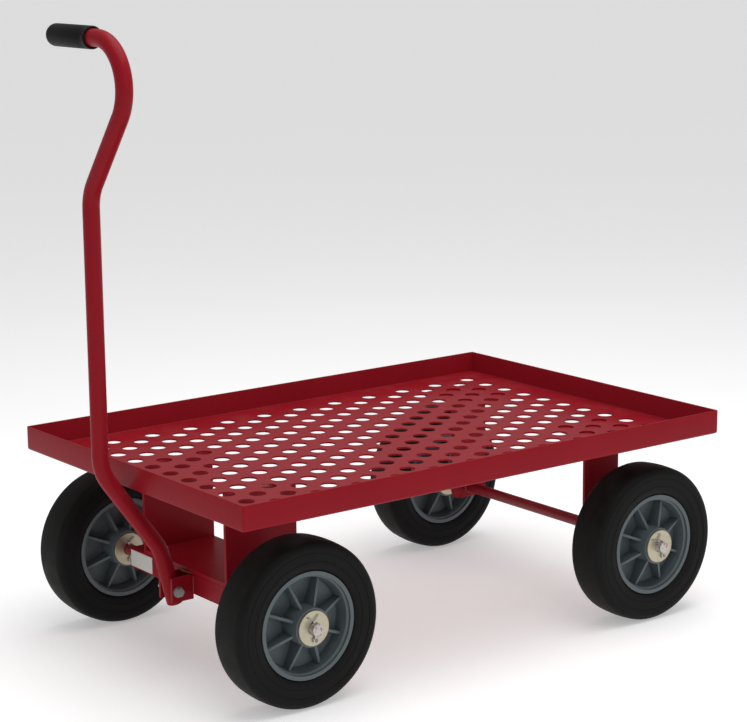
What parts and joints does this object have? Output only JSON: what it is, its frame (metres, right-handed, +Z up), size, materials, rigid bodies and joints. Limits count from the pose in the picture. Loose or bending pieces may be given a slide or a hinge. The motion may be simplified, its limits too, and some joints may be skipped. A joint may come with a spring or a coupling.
{
  "type": "platform truck",
  "caption": "Flatbed platform truck: perforated steel tray deck, solid rubber wheels, steered front axle and an upright gooseneck pull handle with a grip.",
  "frame": {"origin": "on the floor under the middle of the truck's bounding box", "axes": "+X forward, towards the steered end and the handle; +Y to the truck's left; +Z up"},
  "size_m": [0.9762, 0.6296, 0.9671],
  "materials": {
    "red_paint": "semi-gloss powder coat",
    "zinc_steel": "zinc plated",
    "yellow_zinc": "dull yellow zinc",
    "tyre_rubber": "satin solid rubber",
    "rim_plastic": "matte moulded",
    "bush_bronze": "dull sintered bronze",
    "grip_rubber": "matte",
    "blank_label": "satin film, no print"
  },
  "bodies": {
    "chassis": {"deck_tray": "red_paint", "front_bracket": "red_paint", "kingpin": "zinc_steel", "kingpin_washer": "zinc_steel", "kingpin_nut": "zinc_steel", "thrust_washer": "bush_bronze", "rear_pad_left": "red_paint", "rear_pad_right": "red_paint", "rear_leg_left": "red_paint", "rear_leg_right": "red_paint", "rear_axle": "red_paint", "rear_washers": "yellow_zinc", "rear_cotter_pins": "zinc_steel"},
    "front_axle": {"front_beam": "red_paint", "front_axle_left": "red_paint", "front_axle_right": "red_paint", "front_washers": "yellow_zinc", "front_cotter_pins": "zinc_steel", "clevis_ear_left": "red_paint", "clevis_ear_right": "red_paint", "handle_bolt": "zinc_steel", "handle_nut": "zinc_steel", "bolt_washers": "zinc_steel", "blank_plate": "blank_label"},
    "handle": {"handle_tube": "red_paint", "handle_bush": "zinc_steel", "hand_grip": "grip_rubber"},
    "wheel_front_left": {"tyre_front_left": "tyre_rubber", "rim_front_left": "rim_plastic", "bush_front_left": "bush_bronze"},
    "wheel_front_right": {"tyre_front_right": "tyre_rubber", "rim_front_right": "rim_plastic", "bush_front_right": "bush_bronze"},
    "wheel_rear_left": {"tyre_rear_left": "tyre_rubber", "rim_rear_left": "rim_plastic", "bush_rear_left": "bush_bronze"},
    "wheel_rear_right": {"tyre_rear_right": "tyre_rubber", "rim_rear_right": "rim_plastic", "bush_rear_right": "bush_bronze"}
  },
  "joints": [
    {"name": "steer", "type": "hinge", "parent": "chassis", "child": "front_axle", "pos_m": [0.3033, 0, 0.15], "axis": [0, 0, 1], "range_deg": [-15, 15]},
    {"name": "handle_tilt", "type": "hinge", "parent": "front_axle", "child": "handle", "pos_m": [0.3563, 0, 0.121], "axis": [0, 1, 0], "range_deg": [0, 78]},
    {"name": "spin_front_left", "type": "hinge", "parent": "front_axle", "child": "wheel_front_left", "pos_m": [0.3033, 0.2515, 0.125], "axis": [0, 1, 0], "continuous": true},
    {"name": "spin_front_right", "type": "hinge", "parent": "front_axle", "child": "wheel_front_right", "pos_m": [0.3033, -0.2515, 0.125], "axis": [0, 1, 0], "continuous": true},
    {"name": "spin_rear_left", "type": "hinge", "parent": "chassis", "child": "wheel_rear_left", "pos_m": [-0.3631, 0.262, 0.125], "axis": [0, 1, 0], "continuous": true},
    {"name": "spin_rear_right", "type": "hinge", "parent": "chassis", "child": "wheel_rear_right", "pos_m": [-0.3631, -0.262, 0.125], "axis": [0, 1, 0], "continuous": true}
  ]
}
